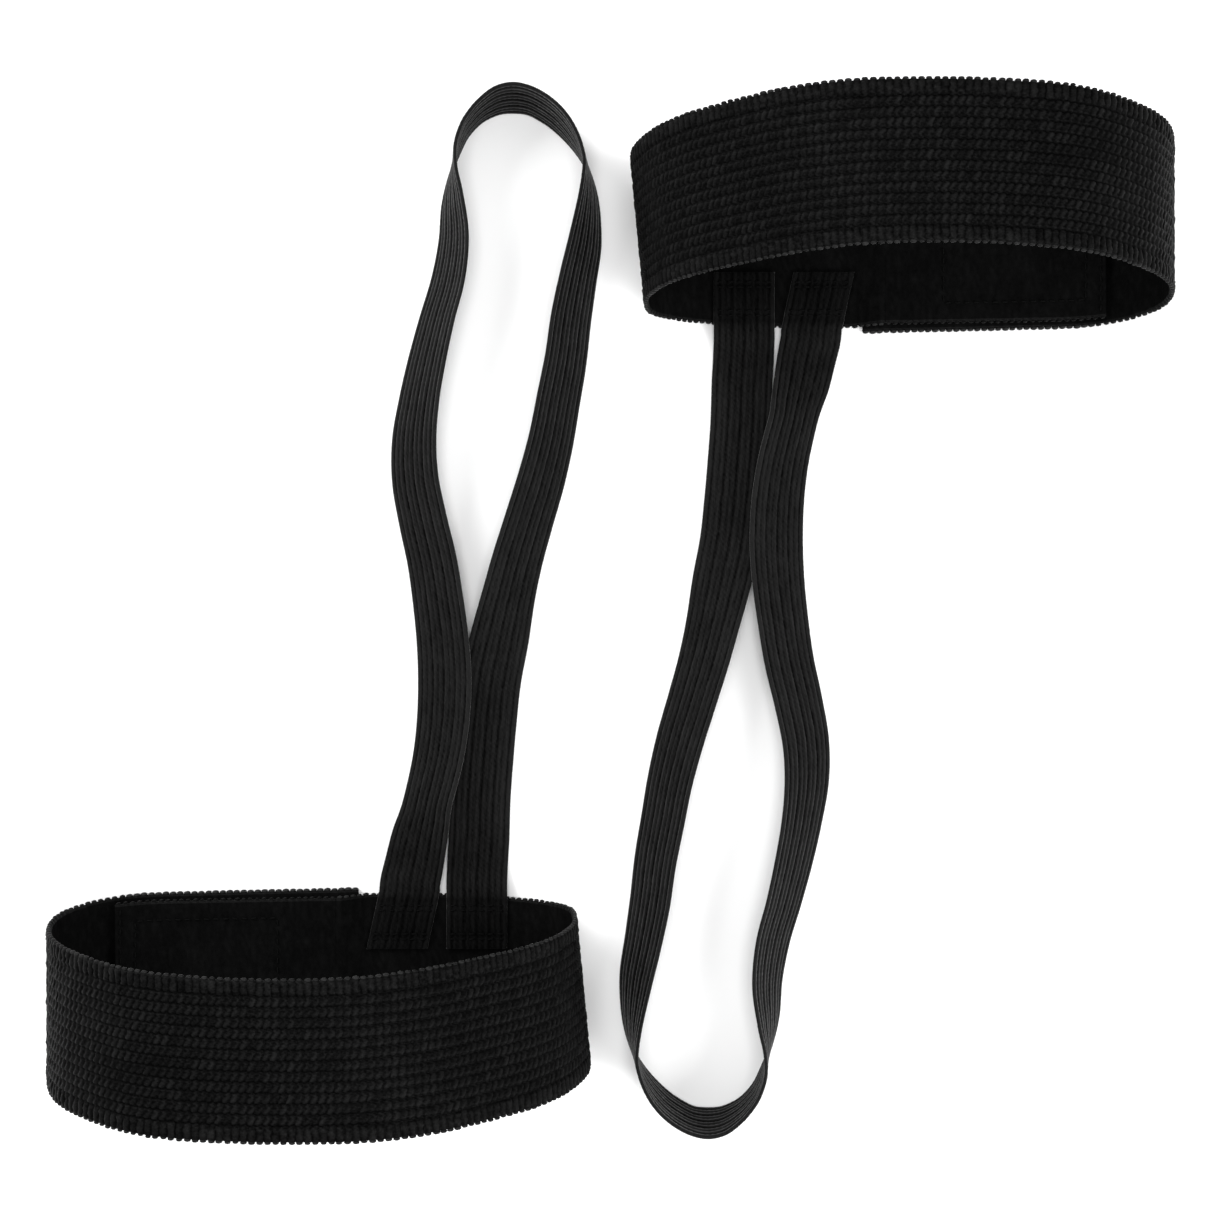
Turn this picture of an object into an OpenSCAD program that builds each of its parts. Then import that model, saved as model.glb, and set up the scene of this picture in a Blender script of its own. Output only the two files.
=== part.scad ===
// A pair of elastic leg straps, lying on their sides on a flat surface.
// Each strap is a wide knitted elastic cuff that closes round the calf with hook and loop tape,
// and a narrow ribbed elastic loop, the stirrup, that is sewn inside the cuff and goes under the foot.
// Millimetres. +Z is up, +X to the right, and the origin is on the surface, midway between the straps.
// Every module draws the left strap's part. The right strap is the same, turned half a turn about Z.

/* [Cuff band] */
// Width of the knitted elastic
band_w = 45; // [40:1:50]
// Thickness of the knitted elastic
band_t = 1.8; // [1.5:0.1:2.0]
// How far the near rim lies from the origin along Y
rim_y = 90.4; // [88:0.2:96]
// Sideways lean of the standing ring, per millimetre of height
lean = 0.136; // [0.10:0.002:0.16]
// How much further out the far rim is than the near one, at the ring's right side
flare_right = 4.2; // [0:0.2:6]
// How much further out still it is at the ring's two shoulders
flare_shoulder = 1.8; // [0:0.2:3]

/* [Closure] */
// Thickness of the hook tape, on the band's outer end
hook_tape_t = 1.1; // [0.8:0.1:1.2]
// Thickness of the loop tape, on the inner end
loop_tape_t = 1.0; // [0.8:0.1:1.2]
// Gap between the two tapes where they meet
tape_gap = 0.2; // [0.2:0.05:0.4]
// Width of both tapes
tape_w = 38; // [30:1:40]
// Length of the hook tape
hook_tape_l = 45; // [30:1:50]
// Length of the loop tape
loop_tape_l = 50; // [30:1:51]

/* [Stirrup] */
// Width of the ribbed elastic
strip_w = 19.4; // [18:0.2:20]
// Thickness of the ribbed elastic
strip_t = 1.2; // [1.0:0.1:1.4]
// Length of each end that is sewn inside the cuff
sewn_l = 18.6; // [16:0.2:22]

/* [Stitching] */
// Diameter of the sewing thread
thread_d = 0.5; // [0.4:0.05:0.6]
// Length of one stitch
stitch_l = 2.2; // [1.6:0.1:2.6]
// Distance from one stitch to the next
stitch_pitch = 3; // [2.8:0.1:4]

/* [Hidden] */

knit_black = [0.05, 0.05, 0.055];
rib_black = [0.1, 0.1, 0.105];
tape_black = [0.08, 0.08, 0.08];
thread_black = [0.03, 0.03, 0.03];

thread_fn = 24;
clear = 0.05;           // between a stitch or a tape and the cloth that it is on
hair = 0.1;             // half the gap at a fold that is a joint

// Undersides of the layers where the ends of the band lie over each other.
hook_tape_z = band_t;
loop_tape_z = hook_tape_z + hook_tape_t + tape_gap;
tongue_z = loop_tape_z + loop_tape_t + clear;

// Stations along X of the closure.
band_end_x = -80.5;     // free end of the outer layer
ramp_foot_x = -75;      // where the inner layer leaves the surface to step over that end
tongue_root_x = -87;    // where it reaches its full height, and its free part begins
tongue_end_x = -156.5;
hook_tape_x = -86;      // right edge of the hook tape
loop_tape_x = -103;     // right edge of the loop tape

// Middle of the band's thickness, X and Z, from the outer end round the ring to the ramp's foot.
RING = [
    [band_end_x, 0], [-104, 0], [-126, 0], [-147, 1],
    [-159, 6.2], [-166.6, 15], [-169.8, 26], [-168, 39], [-161.6, 51.5], [-149.5, 64.2], [-133, 75.5],
    [-113, 81.5], [-92, 83.5], [-72, 82], [-54, 75.2], [-38.2, 65], [-24.5, 54.5],
    [-15.2, 43], [-11, 28.5], [-13.7, 14], [-24.5, 4.2],
    [-40, 0], [-58, 0], [ramp_foot_x, 0],
];
ring_steps = 4;         // stations to an interval
outer_end_points = 3;   // intervals of RING that the outer end's own drift runs over
outer_end_drift = 1.6;  // along Y, at the outer end
tongue_drift = -1.2;    // along Y, at the tongue's free end
low_right_drift = -1.2; // along Y, where the ring leaves the surface at its right side
flare_z = 12;           // the right flare fades out from this height down to the surface
ring_middle_x = -92;    // the top of the ring, midway between its two shoulders
// The tongue's path from its root to its free end, X and the rise above its level.
TONGUE = [[tongue_root_x, 0], [-104, 0], [-120, 0], [-136, 0.1], [-147, 0.5], [tongue_end_x, 3]];

// The stirrup's middle line over the surface: X, Y and the tilt of its width, from flat at 0
// through on edge at 90. It runs up the left leg, round the bight and down the right leg.
STIRRUP = [
    [-63.7, -86, 6], [-62.3, -79.5, 12], [-60.9, -73, 18], [-59.2, -66.5, 28], [-57.8, -60, 34],
    [-54.9, -47.5, 31], [-53.2, -35, 27], [-52.7, -22, 25], [-53.3, -9.5, 27], [-54.8, 3.5, 30],
    [-56.7, 16, 32], [-59.5, 28.5, 34], [-61.9, 41.5, 36], [-62.2, 54, 39], [-60.6, 66.5, 44],
    [-58.1, 79, 47], [-54.9, 92, 50], [-51.4, 104.5, 52], [-49.6, 117, 57], [-49.9, 129, 66],
    [-49.8, 137.5, 78], [-48.6, 144.5, 87], [-46.2, 150.8, 90], [-43.2, 155, 92], [-39.9, 158, 95],
    [-35.3, 160.6, 100], [-30.5, 161.4, 103], [-26, 160.7, 102], [-22, 158.8, 102], [-18, 156, 101],
    [-14.4, 152.4, 99], [-11.2, 148, 95], [-8.7, 143.2, 90], [-7.2, 138.5, 84], [-6.7, 129.5, 73],
    [-7.8, 117, 61], [-10.2, 104.5, 56], [-12.4, 92, 52], [-14.1, 79, 50], [-16.4, 66.5, 48],
    [-18.7, 54, 46], [-21.8, 41.5, 43], [-25.7, 28.5, 41], [-29.4, 16, 38], [-32.5, 3.5, 32],
    [-35.4, -9.5, 18], [-38.1, -22, 9], [-39.6, -35, 5], [-40.7, -47.5, 4], [-41.6, -60, 4],
    [-42, -73, 4], [-42.4, -79.5, 4], [-42.6, -86, 3],
];
// The two sewn ends: X at the fold and X at the cut end.
SEWN_ENDS = [[-64, -68], [-42.6, -42.6]];
fold_y = -rim_y + 1.2;          // the stirrup folds just outside the rim
low_station = 20 * ring_steps;  // from here the ring's path runs along the surface
cut_y = fold_y - sewn_l;
rim_seam_y = -rim_y - 4.3;
end_seam_y = cut_y + 4;
seam_rows = 1.6;                // between the two rows of a seam
climb_l = 9;                    // over this length the stirrup comes down off the band

// Smooth curve through a list of points of any size, with n steps between two of them.
function spline_point(p, i, t) =
    let (a = p[max(i - 1, 0)], b = p[i], c = p[i + 1], d = p[min(i + 2, len(p) - 1)])
    0.5 * (2 * b + (c - a) * t + (2 * a - 5 * b + 4 * c - d) * t * t + (3 * b - a - 3 * c + d) * t * t * t);
function spline(p, n) = concat(
    [for (i = [0 : len(p) - 2], k = [0 : n - 1]) spline_point(p, i, k / n)],
    [p[len(p) - 1]]
);
function ease(t) = let (u = min(1, max(0, t))) u * u * (3 - 2 * u);
function unit(v) = v / norm(v);
function tangent(p, i) = unit(p[min(i + 1, len(p) - 1)] - p[max(i - 1, 0)]);

// The ring: the spline, lying flat where it meets the surface, then the step over the outer end.
ramp_steps = 10;
function ramp_x(k) = ramp_foot_x + (tongue_root_x + hair - ramp_foot_x) * k / ramp_steps;
RAMP = [for (k = [1 : ramp_steps]) [ramp_x(k), band_t / 2 + tongue_z * ease(k / ramp_steps)]];
RING_PATH = concat([for (p = spline(RING, ring_steps)) [p[0], max(p[1], band_t / 2)]], RAMP);
TONGUE_PATH = [for (p = spline(TONGUE, ring_steps)) [p[0] - hair, tongue_z + band_t / 2 + p[1]]];

// How far a station of the ring is out of line along Y.
function ring_drift(i) =
    outer_end_drift * (1 - min(1, i / (outer_end_points * ring_steps)))
    + low_right_drift * ease((RING_PATH[i][0] + 60) / 30) * ease(1 - RING_PATH[i][1] / 20);

// A point of a band: moved out from p, square to the path's direction t, and across from the near rim.
function band_point(p, t, out, across, drift) =
    [p[0] - t[1] * out, -rim_y - lean * p[1] - across + drift, p[1] + t[0] * out];

// How far out the ring's far rim is.
function ring_flare(p) =
    flare_right * ease((p[0] + 90) / 60) * min(1, (p[1] - band_t / 2) / flare_z)
    + flare_shoulder * ease((abs(p[0] - ring_middle_x) - 8) / 30) * ease((p[1] - 40) / 20);

// A closed solid through a row of four-cornered rings.
module loft(rings) {
    n = len(rings);
    points = [for (r = rings, p = r) p];
    sides = [for (i = [0 : n - 2], k = [0 : 3])
        let (a = 4 * i + k, b = 4 * i + (k + 1) % 4)
        each [[a, b, b + 4], [a, b + 4, a + 4]]];
    ends = [[3, 2, 1, 0], [for (k = [0 : 3]) 4 * (n - 1) + k]];
    polyhedron(points = points, faces = concat(sides, ends), convexity = 10);
}

module cuff_band() color(knit_black)
    loft([for (i = [0 : len(RING_PATH) - 1])
        [for (c = [[1, 0], [1, band_w], [-1, band_w], [-1, 0]])
            band_point(RING_PATH[i], tangent(RING_PATH, i),
                c[0] * band_t / 2 + ring_flare(RING_PATH[i]) * c[1] / band_w, c[1], ring_drift(i))]]);

// Where a path that runs to the left, from station number first on, is at x.
function at_x(path, x, first = 0) =
    let (
        k = max([for (i = [first : len(path) - 2]) path[i][0] > x ? i : first]),
        a = path[k],
        b = path[k + 1]
    )
    a + (b - a) * (x - a[0]) / (b[0] - a[0]);

// A point of the tongue at x, moved out towards its underside, and across from the near rim.
function tongue_point(x, out, across) =
    let (t = unit(at_x(TONGUE_PATH, x - 0.5) - at_x(TONGUE_PATH, x + 0.5)))
    band_point(at_x(TONGUE_PATH, x), t, out, across,
        tongue_drift * (tongue_root_x - x) / (tongue_root_x - tongue_end_x));

module cuff_tongue() color(knit_black)
    loft([for (p = TONGUE_PATH)
        [for (c = [[1, 0], [1, band_w], [-1, band_w], [-1, 0]])
            tongue_point(p[0], c[0] * band_t / 2, c[1])]]);

// A tape lies in the middle of the band's width.
tape_near = (band_w - tape_w) / 2;
tape_far = tape_near + tape_w;
tape_margin = 2.5;      // from a tape's edge to its stitching
loop_tape_steps = 24;

module loop_tape() color(tape_black)
    loft([for (k = [0 : loop_tape_steps])
        [for (c = [[1, tape_near], [1, tape_far], [0, tape_far], [0, tape_near]])
            tongue_point(loop_tape_x - loop_tape_l * k / loop_tape_steps,
                band_t / 2 + clear + c[0] * loop_tape_t, c[1])]]);

// The hook tape is grooved for its stitching, so that the thread stays under its face.
groove_w = 1;
groove_d = thread_d + clear;
hook_tape_y = -rim_y + outer_end_drift / 2 - tape_far;
module hook_tape() color(tape_black)
    translate([hook_tape_x - hook_tape_l, hook_tape_y, hook_tape_z])
        difference() {
            cube([hook_tape_l, tape_w, hook_tape_t]);
            for (x = [tape_margin, hook_tape_l - tape_margin])
                translate([x - groove_w / 2, -1, hook_tape_t - groove_d]) cube([groove_w, tape_w + 2, 1]);
            for (y = [tape_margin, tape_w - tape_margin])
                translate([-1, y - groove_w / 2, hook_tape_t - groove_d])
                    cube([hook_tape_l + 2, groove_w, 1]);
        }

// Thread of one stitch from a to b.
module stitch(a, b) {
    d = b - a;
    translate(a) rotate([0, acos(d[2] / norm(d)), atan2(d[1], d[0])])
        cylinder(d = thread_d, h = norm(d), $fn = thread_fn);
}

// Where the stitches start in a row of length l.
function stitch_starts(l) =
    let (
        n = floor((l + stitch_pitch - stitch_l) / stitch_pitch),
        first = (l - (n - 1) * stitch_pitch - stitch_l) / 2
    )
    [for (i = [0 : n - 1]) first + i * stitch_pitch];

// A straight row of stitches from a to b.
module stitch_row(a, b) {
    d = unit(b - a);
    for (s = stitch_starts(norm(b - a))) stitch(a + d * s, a + d * (s + stitch_l));
}

// Stitches on the tongue's upper face, along its length or across its width.
on_tongue = -band_t / 2 - clear - thread_d / 2;
module row_along_tongue(x0, x1, across)
    for (s = stitch_starts(x1 - x0))
        stitch(tongue_point(x0 + s, on_tongue, across), tongue_point(x0 + s + stitch_l, on_tongue, across));
module row_across_tongue(x, near, far)
    stitch_row(tongue_point(x, on_tongue, near), tongue_point(x, on_tongue, far));

module loop_tape_stitching() color(thread_black) {
    x0 = loop_tape_x - loop_tape_l + tape_margin;
    x1 = loop_tape_x - tape_margin;
    near = tape_near + tape_margin;
    far = tape_far - tape_margin;
    for (across = [near, far]) row_along_tongue(x0 + thread_d, x1 - thread_d, across);
    for (x = [x0, x1]) row_across_tongue(x, near + thread_d, far - thread_d);
}

module hook_tape_stitching() color(thread_black) {
    x0 = hook_tape_x - hook_tape_l + tape_margin;
    x1 = hook_tape_x - tape_margin;
    y0 = hook_tape_y + tape_margin;
    y1 = hook_tape_y + tape_w - tape_margin;
    z = hook_tape_z + hook_tape_t - groove_d / 2;
    for (y = [y0, y1]) stitch_row([x0 + thread_d, y, z], [x1 - thread_d, y, z]);
    for (x = [x0, x1]) stitch_row([x, y0 + thread_d, z], [x, y1 - thread_d, z]);
}

end_margin = 1.5;       // from a cut end or a selvedge to the stitches of an end's hem
module tongue_end_stitching() color(thread_black)
    row_across_tongue(tongue_end_x + end_margin, end_margin, band_w - end_margin);

module band_end_stitching() color(thread_black) {
    y = -rim_y + outer_end_drift;
    z = band_t + clear + thread_d / 2;
    for (x = [band_end_x - end_margin, band_end_x - 2 * end_margin])
        stitch_row([x, y - band_w + end_margin, z], [x, y - end_margin, z]);
}

// The stirrup's middle line in space. Its lower edge rests on the surface, and it climbs onto the band.
function climb(y) = band_t * (1 - ease((y + rim_y) / climb_l));
STIRRUP_LINE = concat(
    [[SEWN_ENDS[0][0], fold_y + hair, 0]], STIRRUP, [[SEWN_ENDS[1][0], fold_y + hair, 0]]
);
STIRRUP_PATH = [for (s = spline(STIRRUP_LINE, 2))
    [s[0], s[1], strip_w / 2 * sin(s[2]) + strip_t / 2 * abs(cos(s[2])) + climb(s[1])]];
STIRRUP_TILT = [for (s = spline(STIRRUP_LINE, 2)) s[2]];

// The strip's four corners at a station. Its ends are square to the rim, so that they meet the sewn ends.
function strip_ring(i) =
    let (
        last = len(STIRRUP_PATH) - 1,
        t = i == 0 ? [0, 1, 0] : i == last ? [0, -1, 0] : tangent(STIRRUP_PATH, i),
        u = cos(STIRRUP_TILT[i]) * unit([t[1], -t[0], 0]) + [0, 0, sin(STIRRUP_TILT[i])],
        v = unit(cross(u, t))
    )
    [for (k = [[1, 1], [-1, 1], [-1, -1], [1, -1]])
        STIRRUP_PATH[i] + u * k[0] * strip_w / 2 + v * k[1] * strip_t / 2];

module stirrup_loop() color(rib_black)
    loft([for (i = [0 : len(STIRRUP_PATH) - 1]) strip_ring(i)]);

// Height of the band's inner face at x, where it lies on the surface and rises to both sides.
function band_top(x) =
    let (slope = (at_x(RING_PATH, x + 0.5, low_station)[1] - at_x(RING_PATH, x - 0.5, low_station)[1]))
    at_x(RING_PATH, x, low_station)[1] + band_t / 2 * sqrt(1 + slope * slope);

// Where a sewn end is, at the fraction f of its width from the left, and g of its length from the fold.
function sewn_x(e, f, g) = e[0] + (e[1] - e[0]) * g + strip_w * (f - 0.5);
sewn_steps = 12;
module stirrup_ends() color(rib_black)
    for (e = SEWN_ENDS)
        loft([for (k = [0 : sewn_steps])
            [for (c = [[0, 0], [0, 1], [1, 1], [1, 0]])
                let (x = sewn_x(e, k / sewn_steps, c[0]))
                [x, fold_y - hair - c[0] * (sewn_l - hair), band_top(x) + clear + c[1] * strip_t]]]);

// A seam of two rows across both strips.
module seam(y) {
    on_strip = strip_t + 2 * clear + thread_d / 2;
    for (e = SEWN_ENDS, dy = [-seam_rows / 2, seam_rows / 2]) {
        left = sewn_x(e, 0, (fold_y - y - dy) / sewn_l);
        for (s = stitch_starts(strip_w)) {
            a = left + s;
            b = a + stitch_l;
            stitch([a, y + dy, band_top(a) + on_strip], [b, y + dy, band_top(b) + on_strip]);
        }
    }
}
module stirrup_rim_stitching() color(thread_black) seam(rim_seam_y);
module stirrup_end_stitching() color(thread_black) seam(end_seam_y);

module right_strap() rotate([0, 0, 180]) children();

cuff_band();  // left_cuff_band
cuff_tongue();  // left_cuff_tongue
hook_tape();  // left_hook_tape
loop_tape();  // left_loop_tape
stirrup_loop();  // left_stirrup_loop
stirrup_ends();  // left_stirrup_ends
stirrup_rim_stitching();  // left_stirrup_rim_stitching
stirrup_end_stitching();  // left_stirrup_end_stitching
hook_tape_stitching();  // left_hook_tape_stitching
loop_tape_stitching();  // left_loop_tape_stitching
tongue_end_stitching();  // left_tongue_end_stitching
band_end_stitching();  // left_band_end_stitching
right_strap() cuff_band();  // right_cuff_band
right_strap() cuff_tongue();  // right_cuff_tongue
right_strap() hook_tape();  // right_hook_tape
right_strap() loop_tape();  // right_loop_tape
right_strap() stirrup_loop();  // right_stirrup_loop
right_strap() stirrup_ends();  // right_stirrup_ends
right_strap() stirrup_rim_stitching();  // right_stirrup_rim_stitching
right_strap() stirrup_end_stitching();  // right_stirrup_end_stitching
right_strap() hook_tape_stitching();  // right_hook_tape_stitching
right_strap() loop_tape_stitching();  // right_loop_tape_stitching
right_strap() tongue_end_stitching();  // right_tongue_end_stitching
right_strap() band_end_stitching();  // right_band_end_stitching
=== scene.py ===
import math

import bpy
import numpy as np
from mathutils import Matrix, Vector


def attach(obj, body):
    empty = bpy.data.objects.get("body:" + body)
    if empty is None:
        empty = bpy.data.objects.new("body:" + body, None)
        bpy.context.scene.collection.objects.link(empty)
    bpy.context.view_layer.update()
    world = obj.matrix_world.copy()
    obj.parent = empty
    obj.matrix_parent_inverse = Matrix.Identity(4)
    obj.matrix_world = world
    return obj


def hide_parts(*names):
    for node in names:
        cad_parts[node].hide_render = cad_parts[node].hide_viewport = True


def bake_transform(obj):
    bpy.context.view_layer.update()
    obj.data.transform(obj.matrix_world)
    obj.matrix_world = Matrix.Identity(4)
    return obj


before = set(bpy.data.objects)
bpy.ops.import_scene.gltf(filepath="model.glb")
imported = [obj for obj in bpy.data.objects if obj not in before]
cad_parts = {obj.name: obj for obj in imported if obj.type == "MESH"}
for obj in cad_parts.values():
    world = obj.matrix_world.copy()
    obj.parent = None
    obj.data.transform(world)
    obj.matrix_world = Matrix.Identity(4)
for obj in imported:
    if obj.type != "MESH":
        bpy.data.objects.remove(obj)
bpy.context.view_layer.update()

MM = 0.001
rng = np.random.default_rng(7)


# ---------------------------------------------------------------- camera, lights and floor
CAMERA_HEIGHT = 0.6
camera_data = bpy.data.cameras.new("camera")
camera_data.sensor_width = 36
camera_data.lens = 55.28
camera_data.clip_start = 0.01
camera = bpy.data.objects.new("camera", camera_data)
camera.location = (0, 0, CAMERA_HEIGHT)
bpy.context.scene.collection.objects.link(camera)
bpy.context.scene.camera = camera
bpy.context.scene.view_settings.view_transform = "Standard"


def area_light(name, place, size, power):
    """A square light that points at the middle of the floor."""
    data = bpy.data.lights.new(name, "AREA")
    data.size = size
    data.energy = power
    light = bpy.data.objects.new(name, data)
    light.location = place
    light.rotation_euler = Vector(place).to_track_quat("Z", "Y").to_euler()
    bpy.context.scene.collection.objects.link(light)


area_light("overhead", (0, 0, 1.2), 0.6, 8)
# The side lights are each other's half turn about Z, so that both straps are lit alike.
area_light("side_left", (-0.75, 0.55, 0.60), 0.5, 9)
area_light("side_right", (0.75, -0.55, 0.60), 0.5, 9)

world = bpy.data.worlds.new("studio")
world.use_nodes = True
background = world.node_tree.nodes["Background"]
background.inputs["Color"].default_value = (1, 1, 1, 1)
background.inputs["Strength"].default_value = 0.65
bpy.context.scene.world = world


# ---------------------------------------------------------------- materials
class Nodes:
    """A material's node tree, with short calls to add and join nodes."""

    def __init__(self, name):
        self.material = bpy.data.materials.new(name)
        self.material.use_nodes = True
        self.tree = self.material.node_tree
        self.shader = self.tree.nodes["Principled BSDF"]

    def add(self, kind, inputs=None, **settings):
        node = self.tree.nodes.new(kind)
        for key, value in settings.items():
            setattr(node, key, value)
        for key, value in (inputs or {}).items():
            if isinstance(value, bpy.types.NodeSocket):
                self.tree.links.new(value, node.inputs[key])
            else:
                node.inputs[key].default_value = value
        return node

    def math(self, operation, a, b):
        return self.add("ShaderNodeMath", {0: a, 1: b}, operation=operation).outputs[0]

    def ramp(self, factor, stops):
        """Greys for a factor, from stops of (position, grey)."""
        node = self.add("ShaderNodeValToRGB", {"Fac": factor})
        elements = node.color_ramp.elements
        while len(elements) < len(stops):
            elements.new(0.5)
        for element, (position, grey) in zip(elements, stops):
            element.position = position
            element.color = (grey, grey, grey, 1)
        return node.outputs["Color"]

    def stretched(self, source, scale, detail, turn=0.0):
        """Noise over the strap's own coordinates, with scale in cycles to the metre along and across."""
        mapping = {"Vector": source, "Scale": (*scale, 1.0), "Rotation": (0, 0, turn)}
        mapped = self.add("ShaderNodeMapping", mapping)
        noise = self.add("ShaderNodeTexNoise", {"Vector": mapped.outputs[0], "Scale": 1.0, "Detail": detail})
        return noise.outputs["Fac"]

    def set(self, **values):
        for key, value in values.items():
            socket = self.shader.inputs[key.replace("_", " ")]
            if isinstance(value, bpy.types.NodeSocket):
                self.tree.links.new(value, socket)
            else:
                socket.default_value = value


FIBRE_SHARE = 0.3        # of the colour, the rest being the relief's
BUMP_HEIGHT = 0.00012    # of the fibres, in metres


def cloth_material(name, dark, light, rough, gloss, sheen, fibre, turn=0.0, speckle=1.0):
    """Black yarn: fibres, uneven dye, and the tone in the mesh's relief attribute, which holds painted shade
    in the hollows and painted highlight on the high parts, and which also scales the sheen. fibre is the
    fibres' cycles to the metre along and across, and speckle is how strongly single ones show."""
    n = Nodes(name)
    where = n.add("ShaderNodeUVMap", uv_map="strap").outputs["UV"]
    relief = n.add("ShaderNodeAttribute", attribute_name="relief").outputs["Fac"]
    fibres = n.stretched(where, fibre, 3.0, turn)
    patches = n.stretched(where, (60.0, 90.0), 2.0)
    single = n.math("MULTIPLY", fibres, FIBRE_SHARE * speckle)
    single = n.math("ADD", single, FIBRE_SHARE / 2 * (1 - speckle))
    mixed = n.math("ADD", n.math("MULTIPLY", relief, 1 - FIBRE_SHARE), single)
    mixed = n.math("MULTIPLY", mixed, n.math("ADD", n.math("MULTIPLY", patches, 0.6), 0.7))
    bump = n.add("ShaderNodeBump", {"Height": fibres, "Strength": 0.5, "Distance": BUMP_HEIGHT})
    n.set(
        Base_Color=n.ramp(mixed, [(0.15, dark), (0.85, light)]),
        Roughness=n.ramp(fibres, [(0.2, rough + 0.12), (0.8, rough - 0.12)]),
        Normal=bump.outputs[0],
        Specular_IOR_Level=gloss,
        Sheen_Weight=n.math("MULTIPLY", relief, sheen),
        Sheen_Roughness=0.4,
    )
    return n.material


KNIT = cloth_material("knit_elastic", 0.0001, 0.0080, 0.50, 0.03, 0.022, (1300.0, 1900.0), 0.9, speckle=3.2)
# The inner face is darker than the outer one: partly its own darker pile, partly painted shade of the ring's
# inside.
LINING = cloth_material("knit_back", 0.0002, 0.0050, 0.80, 0.01, 0.002, (1000.0, 700.0))
PICOT = cloth_material("picot_yarn", 0.0005, 0.0200, 0.45, 0.05, 0.0, (1500.0, 6000.0), 0.6)
RIB = cloth_material("ribbed_elastic", 0.0001, 0.0093, 0.55, 0.02, 0.270, (700.0, 2600.0))
THREAD = cloth_material("thread", 0.0008, 0.0036, 0.55, 0.03, 0.0, (3000.0, 3000.0), 0.8)
HOOK = cloth_material("hook_tape", 0.0008, 0.0060, 0.45, 0.06, 0.0, (1500.0, 1500.0))
LOOP = cloth_material("loop_tape", 0.0008, 0.0070, 0.75, 0.02, 0.050, (2500.0, 2500.0))


# ---------------------------------------------------------------- shapes in numbers
def ease(t):
    """From 0 to 1 with level ends, as t goes from 0 to 1."""
    u = np.clip(t, 0.0, 1.0)
    return u * u * (3 - 2 * u)


def spline(points, steps):
    """A smooth curve through points, with that many steps between two of them."""
    p = np.array(points, float)
    rows = []
    for i in range(len(p) - 1):
        a, b, c, d = p[max(i - 1, 0)], p[i], p[i + 1], p[min(i + 2, len(p) - 1)]
        for t in np.arange(steps) / steps:
            rows.append(0.5 * (2 * b + (c - a) * t + (2 * a - 5 * b + 4 * c - d) * t**2
                               + (3 * b - a - 3 * c + d) * t**3))
    return np.array(rows + [p[-1]])


def lengths_along(points):
    return np.concatenate([[0], np.cumsum(np.linalg.norm(np.diff(points, axis=0), axis=1))])


def at_lengths(columns, along, wanted):
    return np.column_stack([np.interp(wanted, along, c) for c in np.atleast_2d(columns.T)])


def unit(v):
    return v / np.linalg.norm(v, axis=-1, keepdims=True)


# The straps' own measures, the same as in the CAD model.
BAND_W, BAND_T, RIM_Y, LEAN = 45.0, 1.8, 90.4, 0.136
FLARE_RIGHT, FLARE_SHOULDER, FLARE_Z, RING_MIDDLE_X = 4.2, 1.8, 12.0, -92.0
HOOK_T, LOOP_T, TAPE_GAP, TAPE_W, HOOK_L, LOOP_L = 1.1, 1.0, 0.2, 38.0, 45.0, 50.0
STRIP_W, STRIP_T, SEWN_L = 19.4, 1.2, 18.6
THREAD_D, STITCH_L, STITCH_PITCH, CLEAR = 0.5, 2.2, 3.0, 0.05
HOOK_Z = BAND_T
LOOP_Z = HOOK_Z + HOOK_T + TAPE_GAP
TONGUE_Z = LOOP_Z + LOOP_T + CLEAR
BAND_END_X, RAMP_FOOT_X, TONGUE_ROOT_X, TONGUE_END_X = -80.5, -75.0, -87.0, -156.5
HOOK_X, LOOP_X = -86.0, -103.0
# x and z of the band's middle line, from its outer end round to the foot of the ramp over that end.
RING = [
    [BAND_END_X, 0], [-104, 0], [-126, 0], [-147, 1],
    [-159, 6.2], [-166.6, 15], [-169.8, 26], [-168, 39], [-161.6, 51.5], [-149.5, 64.2], [-133, 75.5],
    [-113, 81.5], [-92, 83.5], [-72, 82], [-54, 75.2], [-38.2, 65], [-24.5, 54.5],
    [-15.2, 43], [-11, 28.5], [-13.7, 14], [-24.5, 4.2],
    [-40, 0], [-58, 0], [RAMP_FOOT_X, 0],
]
# How far the band strays along Y, and the points of RING that its outer end does so over.
OUTER_END_POINTS, OUTER_END_DRIFT, TONGUE_DRIFT, LOW_RIGHT_DRIFT = 3, 1.6, -1.2, -1.2
# x, and z from the top of the ramp.
TONGUE = [[TONGUE_ROOT_X, 0], [-104, 0], [-120, 0], [-136, 0.1], [-147, 0.5], [TONGUE_END_X, 3]]
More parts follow.
